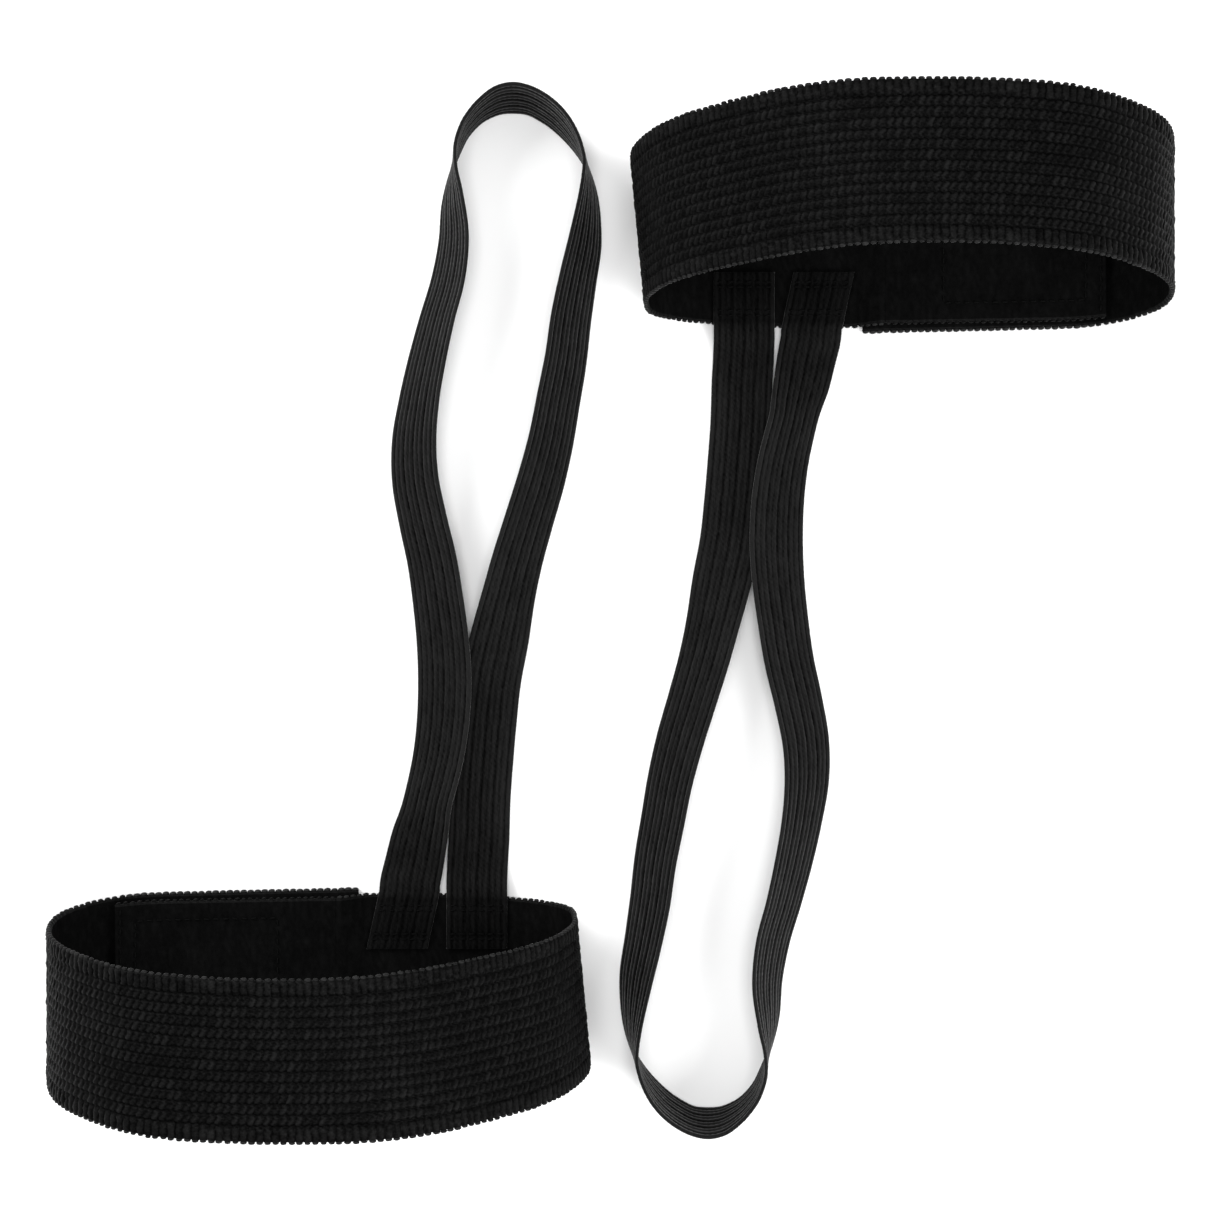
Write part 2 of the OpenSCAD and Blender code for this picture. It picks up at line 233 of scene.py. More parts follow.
# x, y and tilt in degrees, from the left end's fold round the bight to the right end's.
STIRRUP = [
    [-63.7, -86, 6], [-62.3, -79.5, 12], [-60.9, -73, 18], [-59.2, -66.5, 28], [-57.8, -60, 34],
    [-54.9, -47.5, 31], [-53.2, -35, 27], [-52.7, -22, 25], [-53.3, -9.5, 27], [-54.8, 3.5, 30],
    [-56.7, 16, 32], [-59.5, 28.5, 34], [-61.9, 41.5, 36], [-62.2, 54, 39], [-60.6, 66.5, 44],
    [-58.1, 79, 47], [-54.9, 92, 50], [-51.4, 104.5, 52], [-49.6, 117, 57], [-49.9, 129, 66],
    [-49.8, 137.5, 78], [-48.6, 144.5, 87], [-46.2, 150.8, 90], [-43.2, 155, 92], [-39.9, 158, 95],
    [-35.3, 160.6, 100], [-30.5, 161.4, 103], [-26, 160.7, 102], [-22, 158.8, 102], [-18, 156, 101],
    [-14.4, 152.4, 99], [-11.2, 148, 95], [-8.7, 143.2, 90], [-7.2, 138.5, 84], [-6.7, 129.5, 73],
    [-7.8, 117, 61], [-10.2, 104.5, 56], [-12.4, 92, 52], [-14.1, 79, 50], [-16.4, 66.5, 48],
    [-18.7, 54, 46], [-21.8, 41.5, 43], [-25.7, 28.5, 41], [-29.4, 16, 38], [-32.5, 3.5, 32],
    [-35.4, -9.5, 18], [-38.1, -22, 9], [-39.6, -35, 5], [-40.7, -47.5, 4], [-41.6, -60, 4],
    [-42, -73, 4], [-42.4, -79.5, 4], [-42.6, -86, 3],
]
# x of each sewn end, at the fold and at its cut.
SEWN_ENDS = [[-64.0, -68.0], [-42.6, -42.6]]
FOLD_Y = -RIM_Y + 1.2
CUT_Y = FOLD_Y - SEWN_L
RIM_SEAM = 4.3          # from the rim to the middle of its seam
SEAM_ROWS = 1.6         # between the two rows of a seam
SEAMS_Y = {"rim": -RIM_Y - RIM_SEAM, "end": CUT_Y + 4}
CLIMB_L = 9             # over this length the stirrup comes down off the band
BEND_L = 9              # length of cloth that would bend where a fold is a joint

# The cut sizes of the straps, in metres.
CUFF_FLAT, TONGUE_FLAT, STIRRUP_FLAT = (0.045, 0.415), (0.045, 0.070), (0.0194, 0.572)

# The knit: one course is one stitch along the band, and each row of stitches runs along it.
COURSE = 2.2
PHASES = 6              # stations to a course
ROW_PITCH = 2.96
ROWS = 12
BORDER = (BAND_W - ROWS * ROW_PITCH) / 2


# ---------------------------------------------------------------- the band's path
FINE = 40                # steps between two points of an outline
RAMP_STEPS = 60
ring_line = spline(RING, FINE)
ring_line[:, 1] = np.maximum(ring_line[:, 1], BAND_T / 2)
ring_drift = OUTER_END_DRIFT * (1 - np.minimum(1, np.arange(len(ring_line)) / FINE / OUTER_END_POINTS))
climbed = np.linspace(0, 1, RAMP_STEPS + 1)[1:]
ramp = np.column_stack([RAMP_FOOT_X + (TONGUE_ROOT_X - RAMP_FOOT_X) * climbed,
                        BAND_T / 2 + TONGUE_Z * ease(climbed)])
ring_line = np.vstack([ring_line, ramp])
ring_drift = np.concatenate([ring_drift, np.zeros(len(ramp))])
ring_drift += LOW_RIGHT_DRIFT * ease((ring_line[:, 0] + 60) / 30) * ease(1 - ring_line[:, 1] / 20)
tongue_line = spline(TONGUE, FINE)
tongue_line[:, 1] += TONGUE_Z + BAND_T / 2
tongue_drift = TONGUE_DRIFT * (TONGUE_ROOT_X - tongue_line[:, 0]) / (TONGUE_ROOT_X - TONGUE_END_X)


def ring_pitch(length):
    """The knit is drawn out a little more on the ring's left side than on its right side."""
    return np.interp(length, [0, 150, 290, 420], [1.0, 1.08, 0.90, 1.0])


def stations_of(line, drift, pitch):
    """Stations on a band's path, a whole number of courses: x, z, drift and the length so far."""
    along = lengths_along(line)
    course = COURSE * pitch(along)
    count = np.concatenate([[0], np.cumsum(np.diff(along) * 2 / (course[1:] + course[:-1]))])
    wanted = np.interp(np.linspace(0, count[-1], round(count[-1]) * PHASES + 1), count, along)
    return np.column_stack([at_lengths(np.column_stack([line, drift]), along, wanted), wanted])


ring_stations = stations_of(ring_line, ring_drift, ring_pitch)
tongue_stations = stations_of(tongue_line, tongue_drift, np.ones_like)
band_stations = np.vstack([ring_stations, tongue_stations[1:] + [0, 0, 0, ring_stations[-1, 3]]])
ROOT = len(ring_stations) - 1
band_along = band_stations[:, 3]
band_tangent = unit(np.gradient(band_stations[:, :2], axis=0))


def band_points(length, out, across):
    """Points of the band: at a length along it, out from its middle, and across from the near rim."""
    length = np.clip(length, 0, band_along[-1])
    x, z, drift = (np.interp(length, band_along, band_stations[:, c]) for c in range(3))
    tx, tz = (np.interp(length, band_along, band_tangent[:, c]) for c in range(2))
    size = np.hypot(tx, tz)
    tx, tz = tx / size, tz / size
    flare = FLARE_RIGHT * ease((x + 90) / 60) * np.minimum(1, (z - BAND_T / 2) / FLARE_Z)
    flare += FLARE_SHOULDER * ease((abs(x - RING_MIDDLE_X) - 8) / 30) * ease((z - 40) / 20)
    out = out + flare * across / BAND_W
    return np.stack([x - tz * out, -RIM_Y - LEAN * z - across + drift, z + tx * out], axis=-1)


# ---------------------------------------------------------------- meshes
def mesh_object(name, points, faces, materials, uv=None, relief=None, flat_faces=0, second=None):
    """A mesh in metres. faces is an array of quads or triangles. The last flat_faces of them aren't smoothed,
    and those where second is true have the second material."""
    faces = np.asarray(faces)
    mesh = bpy.data.meshes.new(name)
    mesh.vertices.add(len(points))
    mesh.vertices.foreach_set("co", (np.asarray(points) * MM).astype(np.float32).ravel())
    corners = faces.shape[1]
    mesh.loops.add(faces.size)
    mesh.loops.foreach_set("vertex_index", faces.astype(np.int32).ravel())
    mesh.polygons.add(len(faces))
    mesh.polygons.foreach_set("loop_start", np.arange(0, faces.size, corners, dtype=np.int32))
    mesh.update(calc_edges=True)
    smooth = np.ones(len(faces), bool)
    if flat_faces:
        smooth[-flat_faces:] = False
    mesh.polygons.foreach_set("use_smooth", smooth)
    if second is not None:
        mesh.polygons.foreach_set("material_index", np.asarray(second, np.int32))
    if uv is not None:
        layer = mesh.uv_layers.new(name="strap")
        layer.data.foreach_set("uv", (np.asarray(uv)[faces.ravel()] * MM).astype(np.float32).ravel())
    attribute = mesh.attributes.new("relief", "FLOAT", "POINT")
    values = np.full(len(points), 0.6) if relief is None else np.asarray(relief)
    attribute.data.foreach_set("value", values.astype(np.float32))
    mesh.validate()
    for material in materials:
        mesh.materials.append(material)
    made = bpy.data.objects.new(name, mesh)
    bpy.context.scene.collection.objects.link(made)
    return made


def tube_faces(n, m):
    """Quads of a closed tube of n rings of m points, and quads that close its two ends from side to side.
    m is even."""
    i, j = np.meshgrid(np.arange(n - 1), np.arange(m), indexing="ij")
    a, b = i * m + j, i * m + (j + 1) % m
    sides = np.stack([a, b, b + m, a + m], axis=-1).reshape(-1, 4)
    half = np.arange((m - 2) // 2)
    first = np.stack([half, m - 1 - half, m - 2 - half, half + 1], axis=-1)
    last = first[:, ::-1] + (n - 1) * m
    return sides, np.vstack([first, last])


def by_station(columns):
    """Values given column by column, put in the order of a tube's points."""
    return np.stack(columns, axis=1).reshape(len(columns) * len(columns[0]), -1)


SIDES = {"left": 1.0, "right": -1.0}


def both(name, points, faces, materials, slot, body, replaced=(), bend=None, sheet=None, **more):
    """The piece on the left strap, and the same one turned half a turn on the right strap."""
    for side, sign in SIDES.items():
        piece = mesh_object(f"{side}_{name}", points * [sign, sign, 1], faces, materials, **more)
        if bend:
            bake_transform(piece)
        else:
            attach(piece, f"{side}_{body}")
        if replaced:
            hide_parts(*[f"{side}_{node}" for node in replaced])


# The body that a blended piece would bend towards, and where its bend would start and end, in metres. Nothing
# here bends a piece: one given these is baked in place and not attached to a body.
TONGUE_BEND = ("tongue", (TONGUE_ROOT_X * MM, 0), ((TONGUE_ROOT_X - BEND_L) * MM, 0))
STIRRUP_BEND = ("stirrup", (0, FOLD_Y * MM), (0, (FOLD_Y + BEND_L) * MM))


# ---------------------------------------------------------------- the knitted band
GROOVE = -0.72          # relief of the groove between two rows, from the face
# One stitch: its relief at each station of a course, at these places across its row. A small bar lies near
# the row's near side, and the loop swells from it down to a fat bead on the far side.
PLACES = [-0.37, -0.2, 0.0, 0.2, 0.37]
STITCH = np.array([[-0.42, -0.26, -0.16, -0.20, -0.34, -0.46],
                   [-0.46, -0.42, -0.32, -0.16, -0.16, -0.38],
                   [-0.40, -0.28, -0.12, -0.02, -0.16, -0.36],
                   [-0.32, -0.12, 0.00, -0.04, -0.20, -0.36],
                   [-0.46, -0.26, -0.16, -0.22, -0.38, -0.50]])
ON_LOOP = np.array([0.0, 0.7, 1.0, 1.0, 0.7, 0.0])    # how far each station is on the stitch's loop
BORDER_RIB = np.array([-0.48, -0.20, -0.04, 0.0, -0.04, -0.20])
BORDER_PLACES = [0.9, 1.8, 2.8, 3.7, 4.3]
EDGE_R = 0.8            # radius of the selvedges
INNER_LINES = 21        # lines of points on the inner face
STITCH_LEAN = -0.45     # how far along a stitch leans over a whole row, in courses
courses_all = len(band_stations) // PHASES + 2


def band_columns():
    """Points round the band's cross-section, from the near rim over the outer face and back along the inner
    face: across, out, the relief's direction as (across, out), kind, row, and place in the row."""
    columns = []
    for a in (50, 0, -50):
        c, s = math.cos(math.radians(a)), math.sin(math.radians(a))
        columns.append((EDGE_R - EDGE_R * c, -EDGE_R * s, -c, -s, "edge", 0, 0))
    for a in BORDER_PLACES:
        columns.append((a, BAND_T / 2, 0, 1, "border", 0, a / BORDER))
    for row in range(ROWS):
        for v in [-0.5] + PLACES:
            columns.append((BORDER + (row + 0.5 + v) * ROW_PITCH, BAND_T / 2, 0, 1, "row", row, v))
    columns.append((BAND_W - BORDER, BAND_T / 2, 0, 1, "row", ROWS, -0.5))
    for a in BORDER_PLACES[::-1]:
        columns.append((BAND_W - a, BAND_T / 2, 0, 1, "border", 1, a / BORDER))
    for a in (-50, 0, 50):
        c, s = math.cos(math.radians(a)), math.sin(math.radians(a))
        columns.append((BAND_W - EDGE_R + EDGE_R * c, -EDGE_R * s, c, -s, "edge", 1, 0))
    for j in range(INNER_LINES):
        across = BAND_W - 0.9 - (BAND_W - 1.8) * j / (INNER_LINES - 1)
        columns.append((across, -BAND_T / 2, 0, -1, "inner", j, 0))
    return columns


# What is uneven about the knit: each stitch's height, place and tone, each row's place, the border and the
# tufts of the inner face.
stitch_height = rng.normal(0, 0.07, (ROWS + 1, courses_all))
stitch_shift = rng.normal(0, 0.20, (ROWS + 1, courses_all))
stitch_tone = rng.normal(0, 0.11, (ROWS + 1, courses_all))
row_shift = rng.uniform(-0.35, 0.35, ROWS + 1)
border_wear = rng.normal(0, 0.07, (5, courses_all))
tufts = rng.uniform(0, 1, (22, len(band_stations) // 3 + 2)) ** 3
pile = np.array([np.interp(np.arange(len(band_stations)) / 3, np.arange(len(t)), t) for t in tufts])


def band_piece(name, first, last, thin, **more):
    """The length of band between two stations. Where thin says so, only every third station is kept."""
    numbers = np.array([i for i in range(first, last + 1) if i in (first, last) or i % 3 == 0 or not thin(i)])
    courses, phases = numbers // PHASES, numbers % PHASES
    columns = band_columns()
    points, uvs, tones = [], [], []
    for number, (across, out, da, do, kind, row, v) in enumerate(columns):
        relief = np.zeros(len(numbers))
        shift = np.zeros(len(numbers))
        tone = np.full(len(numbers), 0.5)
        if kind == "row":
            if v == -0.5:
                relief = GROOVE + 0.05 * np.sin(numbers * 1.7 + row)
                # Painted shade: the groove between two rows is painted black.
                tone = np.full(len(numbers), 0.0)
            else:
                on_loop = ON_LOOP[phases]
                relief = STITCH[PLACES.index(v)][phases] + stitch_height[row, courses] * on_loop
                shift = STITCH_LEAN * COURSE * v + row_shift[row] + stitch_shift[row, courses] * on_loop
                # The tone follows the relief, painted shade in the low parts and painted highlight on the
                # high ones, with a random tone for each stitch.
                tone = 0.64 + 1.5 * relief + stitch_tone[row, courses] * on_loop
        elif kind == "border":
            relief = BORDER_RIB[phases] - 0.25 * ease((v - 0.75) / 0.2)
            relief = relief + 1.6 * border_wear[number % 5, courses]
            shift = 1.5 * border_wear[(number + 2) % 5, courses]
            # Painted shade and highlight here too, following the border's relief, with a random tone.
            tone = 0.50 + 1.2 * relief + 0.5 * stitch_tone[row * ROWS, courses]
        elif kind == "edge":
            relief = 0.5 * BORDER_RIB[phases]
            # Painted shade and highlight following the selvedge's relief.
            tone = 0.5 + relief
        else:
            relief = -0.25 + 0.2 * pile[row, numbers]
            tone = 0.40 + 0.35 * pile[row, numbers]
        to_end = np.minimum(numbers - first, last - numbers)
        length = band_along[numbers] + shift * np.minimum(1, to_end / 3)
        points.append(band_points(length, out + do * relief, across + da * relief))
        uvs.append(np.column_stack([length, np.full(len(numbers), -across if kind == "inner" else across)]))
        tones.append(np.clip(tone, 0, 1))
    sides, ends = tube_faces(len(numbers), len(columns))
    inner = np.array([kind == "inner" for *_, kind, _, _ in columns])
    lined = np.tile(inner & np.roll(inner, -1), len(numbers) - 1)
    both(name, by_station(points), np.vstack([sides, ends]), [KNIT, LINING], "knit_elastic",
         uv=by_station(uvs), relief=by_station(tones).ravel(), flat_faces=len(ends),
         second=np.concatenate([lined, np.zeros(len(ends), bool)]), **more)


def ring_hidden(i):
    """True where the ring's outer face lies on the surface."""
    return band_stations[i, 1] < BAND_T / 2 + 0.3


band_piece("cuff_knit", 0, ROOT, ring_hidden, body="cuff", replaced=["cuff_band"], sheet=(CUFF_FLAT, "laid"))
band_piece("tongue_knit", ROOT, len(band_stations) - 1, lambda i: False, body="cuff",
           replaced=["cuff_tongue"], bend=TONGUE_BEND, sheet=(TONGUE_FLAT, "laid"))


# ---------------------------------------------------------------- picots along the two rims
def ball(slices, around):
    """Points and triangles of a ball of radius 1, with its poles on X."""
    polar = np.linspace(0, math.pi, slices + 1)[1:-1]
    turn = np.arange(around) * 2 * math.pi / around
    circle = np.column_stack([np.ones(around), np.cos(turn), np.sin(turn)])
    rings = [circle * [math.cos(p), math.sin(p), math.sin(p)] for p in polar]
    shell = np.vstack([[[1, 0, 0]]] + rings + [[[-1, 0, 0]]])
    tail = len(shell) - 1
    tri = []
    for j in range(around):
        n = (j + 1) % around
        tri += [(0, 1 + n, 1 + j), (tail, tail - around + j, tail - around + n)]
        for i in range(len(polar) - 1):
            a, b = 1 + i * around + j, 1 + i * around + n
            tri += [(a, b, b + around), (a, b + around, a + around)]
    return shell, np.array(tri)


def beads(name, first, last, paler, **more):
    """One bead of whipped yarn to a course on each rim, leaning along it. paler(length) is added to its tone,
    and the palest beads are the largest: the outer end's beads, which lie in the tongue's shade, get painted
    light, and the tongue's beads, which catch the light, get painted shade."""
    shell, tri = ball(6, 8)
    half_size = [0.40 * COURSE, 0.72, 0.55]
    points, faces, uvs, tones = [], [], [], []
    for rim, outward in ((0.0, -1.0), (BAND_W, 1.0)):
        for c in range((last - first) // PHASES):
            middle = band_along[first + c * PHASES + PHASES // 2]
            size = 1 + rng.normal(0, 0.06) + 0.25 * paler(middle)
            along, up, side = (shell * half_size * size).T
            place = band_points(middle + along + 0.5 * up + rng.normal(0, 0.07), 0.2 + up - 0.3 * along,
                                rim + outward * (side - 0.06 + rng.normal(0, 0.05)))
            faces.append((tri if outward < 0 else tri[:, ::-1]) + len(points) * len(shell))
            points.append(place)
            uvs.append(np.column_stack([middle + along, rim + side]))
            # Painted highlight: each bead's top side is painted lighter than its underside.
            upward = (place[:, 2] - place[:, 2].mean()) / 0.7
            tones.append(np.clip(0.50 + 0.35 * upward + rng.uniform(-0.2, 0.2) + paler(middle), 0, 1))
    both(name, np.vstack(points), np.vstack(faces), [PICOT], "knit_elastic", uv=np.vstack(uvs),
         relief=np.concatenate(tones), **more)


FLAP_L = 75              # length of the outer end that lies under the tongue
# Painted light on the outer end's beads, in the tongue's shade, and painted shade on the tongue's beads.
beads("cuff_picots", 0, ROOT, lambda length: 0.5 if length < FLAP_L else -0.25, body="cuff")
beads("tongue_picots", ROOT, len(band_stations) - 1, lambda length: -0.7, body="cuff", bend=TONGUE_BEND)


# ---------------------------------------------------------------- the stirrup
STRIP_STEP = 0.8        # between two stations
RIBS, RIB_PITCH = 8, 2
RIB_TONES = [0.08, -0.04, 0.0, -0.10, 0.02, -0.08, 0.06, 0.0]
WIDE_GROOVE, NARROW_GROOVE = 0.36, 0.20     # depths, by turns
STRIP_EDGE_R = 0.42
KNOTS = 250             # changes of tone along a rib
SHADE_LINE_IN = RIM_SEAM - RIM_Y - FOLD_Y       # a line of painted shade, as of a crease, lies this far in from the fold

# The ring's path from the ramp's top along the surface to where it rises at the right, from left to right.
low = band_stations[: ROOT + 1]
low = low[np.argmax(low[:, 0] > -20) :]
low = low[np.argmax(low[:, 0] < -24.5) :][::-1]
low_slope = np.gradient(low[:, 1], low[:, 0])


def band_top(x):
    """Height of the band's inner face where it lies on the surface."""
    return np.interp(x, low[:, 0], low[:, 1] + BAND_T / 2 * np.sqrt(1 + low_slope**2))


def strip_frames():
    """Stations of the stirrup's free part: place, across, up, and the length so far."""
    line = spline([[SEWN_ENDS[0][0], FOLD_Y, 0]] + STIRRUP + [[SEWN_ENDS[1][0], FOLD_Y, 0]], 16)
    tilt = np.radians(line[:, 2])
    z = STRIP_W / 2 * np.sin(tilt) + STRIP_T / 2 * abs(np.cos(tilt))
    z += BAND_T * (1 - ease((line[:, 1] + RIM_Y) / CLIMB_L))
    path = np.column_stack([line[:, :2], z])
    along = lengths_along(path)
    wanted = np.linspace(0, along[-1], round(along[-1] / STRIP_STEP) + 1)
    path, tilt = at_lengths(path, along, wanted), np.interp(wanted, along, tilt)
    # Close to both folds the strip runs straight along Y.
    near = np.exp(-wanted / 1.5) + np.exp(-(wanted[-1] - wanted) / 1.5)
    ahead = np.where(wanted < wanted[-1] / 2, 1.0, -1.0)
    t = unit(np.gradient(path, axis=0))
    t = unit(t * (1 - near)[:, None] + np.column_stack([0 * ahead, ahead, 0 * ahead]) * near[:, None])
    across = np.column_stack([t[:, 1], -t[:, 0], np.zeros(len(t))])
    across = unit(across) * np.cos(tilt)[:, None] + np.column_stack([0 * tilt, 0 * tilt, np.sin(tilt)])
    return path, across, unit(np.cross(across, t)), wanted


def strip_columns():
    """Points round the strip's cross-section: across, height, the relief's direction, relief and tone."""
    ribs = []
    first = -RIBS * RIB_PITCH // 2
    for k in range(RIBS):
        left, right = (WIDE_GROOVE, NARROW_GROOVE) if k % 2 == 0 else (NARROW_GROOVE, WIDE_GROOVE)
        # Each rib has its own tone, and painted shade darkens it down into its grooves.
        pale = 0.80 + RIB_TONES[k]
        for place, share, side in ((0.0, 1.0, left), (0.3, 0.66, left), (0.7, 0.14, left), (1.0, 0.0, left),
                                   (1.3, 0.14, right), (1.7, 0.66, right)):
            ribs.append((first + RIB_PITCH * k + place, -share * side, pale - 1.9 * share * side))
    ribs.append((-first, -WIDE_GROOVE, 0.10))
    selvedge = [(8.3, -0.10, 0.8), (8.7, 0.0, 1.0), (9.2, -0.02, 0.9)]
    face = [(-a, r, tone) for a, r, tone in selvedge[::-1]] + ribs + selvedge
    top = [(a, STRIP_T / 2, 0, 1, r, tone) for a, r, tone in face]
    under = [(a, -STRIP_T / 2, 0, -1, r, tone) for a, r, tone in face[::-1]]
    edge = [(STRIP_EDGE_R * math.cos(math.radians(d)), 0.5 * math.sin(math.radians(d))) for d in (50, 0, -50)]
    right = [(STRIP_W / 2 - STRIP_EDGE_R + c, h, 1, 0, 0, 0.95) for c, h in edge]
    left = [(-STRIP_W / 2 + STRIP_EDGE_R - c, h, -1, 0, 0, 0.95) for c, h in edge[::-1]]
    return top + right + under + left


def strip_mesh():
    """The stirrup, from one cut end over the free loop to the other: its stations are in that order."""
    path, across, up, along = strip_frames()
    free = len(path)
    sewn = round(SEWN_L / STRIP_STEP)
    total = free + 2 * sewn
    middle = slice(sewn, sewn + free)
    share = np.arange(1, sewn + 1) / sewn
    fade = [1 - ease(along / CLIMB_L), 1 - ease((along[-1] - along) / CLIMB_L)]
    points, uvs, tones = [], [], []
    for a, h, da, dh, relief, tone in strip_columns():
        picks = np.cos(np.arange(total) * math.pi + round(a) * math.pi)
        wave = 0.022 * picks + rng.normal(0, 0.012, total)
        bump = relief + np.where(abs(dh) > 0, wave - 0.02, 0.35 * wave)
        row = np.empty((total, 3))
        row[middle] = path + across * (a + da * bump[middle])[:, None] + up * (h + dh * bump[middle])[:, None]
        ends = ((SEWN_ENDS[0], 1.0, slice(0, sewn), share[::-1], sewn, fade[0]),
                (SEWN_ENDS[1], -1.0, slice(sewn + free, None), share, sewn + free - 1, fade[1]))
        for (fold_x, cut_x), sign, order, g, fold, faded in ends:
            y = FOLD_Y - SEWN_L * g
            press = sum(np.exp(-(((y - seam) / 1.1) ** 2)) for seam in SEAMS_Y.values()) if dh >= 0 else 0 * y
            x = fold_x + (cut_x - fold_x) * g + sign * (a + da * bump[order])
            z = band_top(x) + CLEAR + STRIP_T / 2 + h + dh * bump[order] - 0.3 * press
            row[order] = np.column_stack([x, y, z])
            # The free part starts at the height of the sewn end.
            sewn_z = band_top(row[fold, 0]) + CLEAR + STRIP_T / 2 + h
            row[middle, 2] += faded * (sewn_z - (row[fold, 2] - dh * bump[fold]))
        points.append(row)
        last = SEWN_L + along[-1]
        length = np.concatenate([SEWN_L * (1 - share[::-1]), SEWN_L + along, last + SEWN_L * share])
        uvs.append(np.column_stack([length, np.full(len(length), a if dh >= 0 else 40 + a)]))
        inside = np.concatenate([share[::-1], 0 * along, share]) * SEWN_L
        # Painted shade: the sewn ends are darker inside the ring, a dark line lies just in from the fold
        # where the strip drops over the rim, and the strip darkens towards the cuff at both ends.
        shade_near_ends = 0.38 * np.exp(-np.minimum(length, length[-1] - length) / 45)
        rim_line_shade = 0.5 * np.exp(-(((inside - SHADE_LINE_IN) / 1.3) ** 2))
        painted_shade = (1 - 0.48 * ease((inside - 4.8) / 1.6)) * (1 - rim_line_shade) * (1 - shade_near_ends)
        knots = np.abs(rng.normal(0, 0.20, KNOTS)) - 0.14
        uneven = np.interp(length, np.linspace(0, length[-1], KNOTS), knots)
        tones.append(np.clip((tone + uneven + 0.10 * picks + rng.normal(0, 0.11, len(length))) * painted_shade, 0, 1))
    sides, closing = tube_faces(total, len(points))
    faces = np.vstack([sides, closing])[:, ::-1]
    both("stirrup_strip", by_station(points), faces, [RIB], "ribbed_elastic", "cuff",
         replaced=["stirrup_loop", "stirrup_ends"], bend=STIRRUP_BEND, uv=by_station(uvs),
         relief=by_station(tones).ravel(), flat_faces=len(closing), sheet=(STIRRUP_FLAT, "folded"))


strip_mesh()


# ---------------------------------------------------------------- thread
def stitch_starts(length):
    """Where the stitches of a row begin, with the same margin at its two ends."""
    n = math.floor((length + STITCH_PITCH - STITCH_L) / STITCH_PITCH)
    return (length - (n - 1) * STITCH_PITCH - STITCH_L) / 2 + np.arange(n) * STITCH_PITCH


def thread(name, place, rows, bend=None):
    """Stitches in straight rows. place turns (x, across, height over the face) into a point, and a row is
    (x0, across0, x1, across1)."""
    rings, around = 9, 8
    t = np.linspace(0, 1, rings)
    swell = np.sqrt(np.clip(1 - (2 * t - 1) ** 6, 0.02, 1)) * THREAD_D / 2
    turn = np.arange(around) * 2 * math.pi / around
    sides, ends = tube_faces(rings, around)
    one = np.vstack([sides, ends])
    points, faces, uvs = [], [], []
    for x0, y0, x1, y1 in rows:
        length = math.hypot(x1 - x0, y1 - y0)
        dx, dy = (x1 - x0) / length, (y1 - y0) / length
        for start in stitch_starts(length):
            s = start + STITCH_L * t
            height = 0.14 - 0.42 * (2 * t - 1) ** 4
            lean = rng.normal(0, 0.05)
            shell = []
            for i in range(rings):
                off = swell[i] * np.cos(turn) + lean * (2 * t[i] - 1) * 2
                shell.append(place(x0 + dx * s[i] - dy * off, y0 + dy * s[i] + dx * off,
                                   height[i] + swell[i] * np.sin(turn)))
            faces.append(one + len(points) * rings * around)
            points.append(np.vstack(shell))
            uvs.append(np.column_stack([np.repeat(s, around), np.tile(turn * THREAD_D / 2, rings)]))
    both(f"{name}_thread", np.vstack(points), np.vstack(faces), [THREAD], "thread", "cuff", replaced=[name],
         bend=bend, uv=np.vstack(uvs))


SECOND_END = 100         # added to x for a place on the stirrup's second end


def on_strips(x, y, height):
    """A place on a sewn end of the stirrup, with x from its left edge."""
    end = (x > SECOND_END / 2).astype(int)
    fold_x, cut_x = np.array(SEWN_ENDS)[end].T
    left = fold_x + (cut_x - fold_x) * (FOLD_Y - y) / SEWN_L - STRIP_W / 2
    at = left + (x - SECOND_END * end)
    return np.column_stack([at, y, band_top(at) + CLEAR + STRIP_T + height])


for seam, middle_y in SEAMS_Y.items():
    seam_rows = (middle_y - SEAM_ROWS / 2, middle_y + SEAM_ROWS / 2)
    thread(f"stirrup_{seam}_stitching", on_strips,
           [(x, y, x + STRIP_W, y) for x in (0, SECOND_END) for y in seam_rows])

tongue_x, tongue_length = band_stations[ROOT:, 0][::-1], band_along[ROOT:][::-1]


def on_tongue(x, across, height):
    """A place on the tongue's upper face, the one inside the ring."""
    return band_points(np.interp(x, tongue_x, tongue_length), -BAND_T / 2 - height, across)


MARGIN = 2.5            # from a tape's edge to its stitching
END_MARGIN = 1.5        # from a cut end or a selvedge to the stitches of a hem
TAPE_NEAR, TAPE_FAR = (BAND_W - TAPE_W) / 2, (BAND_W + TAPE_W) / 2
HOOK_Y = -RIM_Y + OUTER_END_DRIFT / 2 - TAPE_FAR
HOOK_BASE, LOOP_BASE = 0.5, 0.45            # thickness of the tapes without their hooks or loops


def tape_rows(x, y, length):
    """The four rows of stitching of a tape with its corner at x, y."""
    x0, x1, y0, y1 = x + MARGIN, x + length - MARGIN, y + MARGIN, y + TAPE_W - MARGIN
    return [(x0, y0, x1, y0), (x0, y1, x1, y1), (x0, y0, x0, y1), (x1, y0, x1, y1)]


thread("loop_tape_stitching", on_tongue, tape_rows(LOOP_X - LOOP_L, TAPE_NEAR, LOOP_L), bend=TONGUE_BEND)
hem_x = TONGUE_END_X + END_MARGIN
thread("tongue_end_stitching", on_tongue, [(hem_x, END_MARGIN, hem_x, BAND_W - END_MARGIN)], bend=TONGUE_BEND)


def over_flap(level):
    """Places at a height over a level, where the outer end lies flat."""
    return lambda x, y, height: np.column_stack([x, y, level + height])


thread("hook_tape_stitching", over_flap(HOOK_Z + HOOK_BASE), tape_rows(HOOK_X - HOOK_L, HOOK_Y, HOOK_L))
hem_y = -RIM_Y + OUTER_END_DRIFT - BAND_W + END_MARGIN
hem_rows = (BAND_END_X - END_MARGIN, BAND_END_X - 2 * END_MARGIN)
thread("band_end_stitching", over_flap(BAND_T),
       [(x, hem_y, x, hem_y + BAND_W - 2 * END_MARGIN) for x in hem_rows])


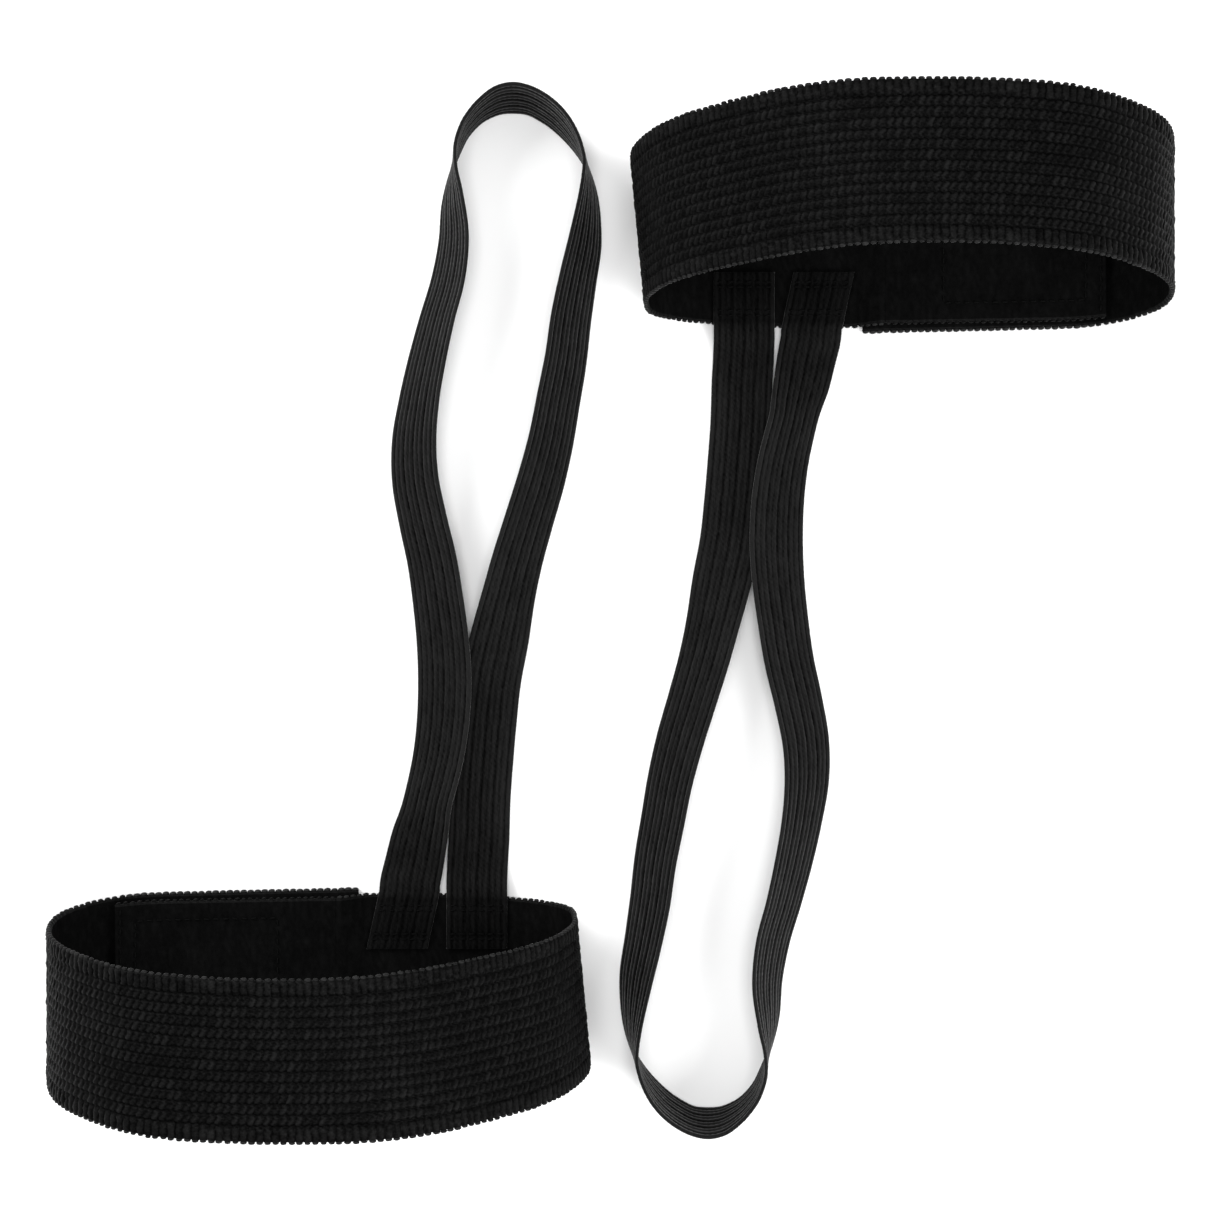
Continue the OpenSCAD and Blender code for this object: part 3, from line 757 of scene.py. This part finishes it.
# ---------------------------------------------------------------- hook tape and loop tape
def tape(name, node, place, x0, y0, length, base, nap, material, bend=None):
    """A woven base, and the hooks or loops that nap() stands on it. place turns (x, across, height) into a
    point, and the section is a list of (across, share of the base's thickness)."""
    edge = [(0.0, 0.5), (0.12, 0.85), (0.35, 1.0)]
    flat = [(y, 1.0) for y in np.arange(1.0, TAPE_W - 0.9, 1.0)]
    rows = edge + flat + [(TAPE_W - a, b) for a, b in edge[::-1]]
    under = [(TAPE_W - 0.2, 0.05), (TAPE_W / 2, 0.0), (0.2, 0.05)]
    section = rows + under + ([(0.0, 0.3)] if (len(rows) + len(under)) % 2 else [])
    stations = np.linspace(0, length, round(length / 0.7) + 1)
    points, uvs = [], []
    for i, s in enumerate(stations):
        pinch = 0.25 if i in (0, len(stations) - 1) else 0.0
        y = np.array([a for a, _ in section])
        h = np.array([b for _, b in section]) * base
        h = np.where(h > 0.5 * base, h - pinch * base + 0.03 * ((i + np.arange(len(section))) % 2), h)
        points.append(place(np.full(len(y), x0 + s), y0 + y, h))
        uvs.append(np.column_stack([np.full(len(y), s), y]))
    sides, ends = tube_faces(len(stations), len(section))
    quads = np.vstack([sides, ends])
    n = len(stations) * len(section)
    nap_points, nap_faces = nap(place, x0, y0, length)
    both(name, np.vstack(points + [nap_points]), np.vstack([quads, nap_faces + n]), [material], node, "cuff",
         replaced=[node], bend=bend, uv=np.vstack(uvs + [nap_points[:, :2]]),
         relief=np.concatenate([np.full(n, 0.35), np.full(len(nap_points), 0.75)]))


def strands(place, lines, radius, around=4):
    """Thin strands along lines of (x, across, height)."""
    turn = np.arange(around) * 2 * math.pi / around
    points, faces = [], []
    for line in lines:
        t = unit(np.gradient(line, axis=0))
        side = unit(np.cross(t, [0.3, 0.5, 0.81]))      # a direction that no strand runs in
        other = np.cross(t, side)
        spoke = side[:, None] * np.cos(turn)[:, None] + other[:, None] * np.sin(turn)[:, None]
        ring = line[:, None] + radius * spoke
        sides, ends = tube_faces(len(line), around)
        faces.append(np.vstack([sides, ends]) + len(points) * len(line) * around)
        ring = ring.reshape(-1, 3)
        points.append(place(ring[:, 0], ring[:, 1], ring[:, 2]))
    return np.vstack(points), np.vstack(faces)


HOOK_LINE = [(0, -0.1), (0, 0.25), (0.12, 0.44), (0.38, 0.45), (0.48, 0.24)]    # along, and up from the base


def hooks(place, x0, y0, length):
    """Rows of bent hooks, away from the tape's stitching, that face one way and the other by turns."""
    lines = []
    for i, x in enumerate(np.arange(1.2, length - 1.0, 1.5)):
        for y in np.arange(1.2, TAPE_W - 1.0, 1.4):
            to_thread = min(abs(x - MARGIN), abs(x - length + MARGIN),
                            abs(y - MARGIN), abs(y - TAPE_W + MARGIN))
            if to_thread >= 0.55:
                way = 1 if i % 2 else -1
                hook = [[x0 + x + run * way, y0 + y, HOOK_BASE + up] for run, up in HOOK_LINE]
                lines.append(np.array(hook))
    return strands(place, lines, 0.09)


LOOP_SPACING = 1.15


def loops(place, x0, y0, length):
    """A pile of small loops that lean every way."""
    lines = []
    arc = np.linspace(-0.15, 1.15, 6) * math.pi
    for x in np.arange(0.8, length - 0.6, LOOP_SPACING):
        for y in np.arange(0.8, TAPE_W - 0.6, LOOP_SPACING):
            a, tip = rng.uniform(0, math.pi), rng.uniform(-0.25, 0.25, 2)
            cx, cy = x0 + x + rng.uniform(-0.3, 0.3), y0 + y + rng.uniform(-0.3, 0.3)
            lift = 0.55 * np.sin(arc) * rng.uniform(0.75, 1.0)
            run = 0.45 * np.cos(arc)
            lines.append(np.column_stack([cx + run * math.cos(a) + tip[0] * lift,
                                          cy + run * math.sin(a) + tip[1] * lift, 0.42 + lift]))
    return strands(place, lines, 0.05, 3)


def under_tongue(x, across, height):
    """A place under the tongue, down from its lower face."""
    return band_points(np.interp(x, tongue_x, tongue_length), BAND_T / 2 + CLEAR + height, across)


tape("tape_hooks", "hook_tape", over_flap(HOOK_Z), HOOK_X - HOOK_L, HOOK_Y, HOOK_L, HOOK_BASE, hooks, HOOK)
tape("tape_loops", "loop_tape", under_tongue, LOOP_X - LOOP_L, TAPE_NEAR, LOOP_L, LOOP_BASE, loops, LOOP,
     TONGUE_BEND)


# ---------------------------------------------------------------- stage
pale = Nodes("pale_floor")
pale.set(Base_Color=(0.92, 0.92, 0.92, 1), Roughness=0.9, Specular_IOR_Level=0.1)
FLOOR_HALF, FLOOR_Z = 3000, -0.3
floor_corners = [[x * FLOOR_HALF, y * FLOOR_HALF, FLOOR_Z] for x, y in ((-1, -1), (1, -1), (1, 1), (-1, 1))]
floor = mesh_object("floor", floor_corners, [[0, 1, 2, 3]], [pale.material])
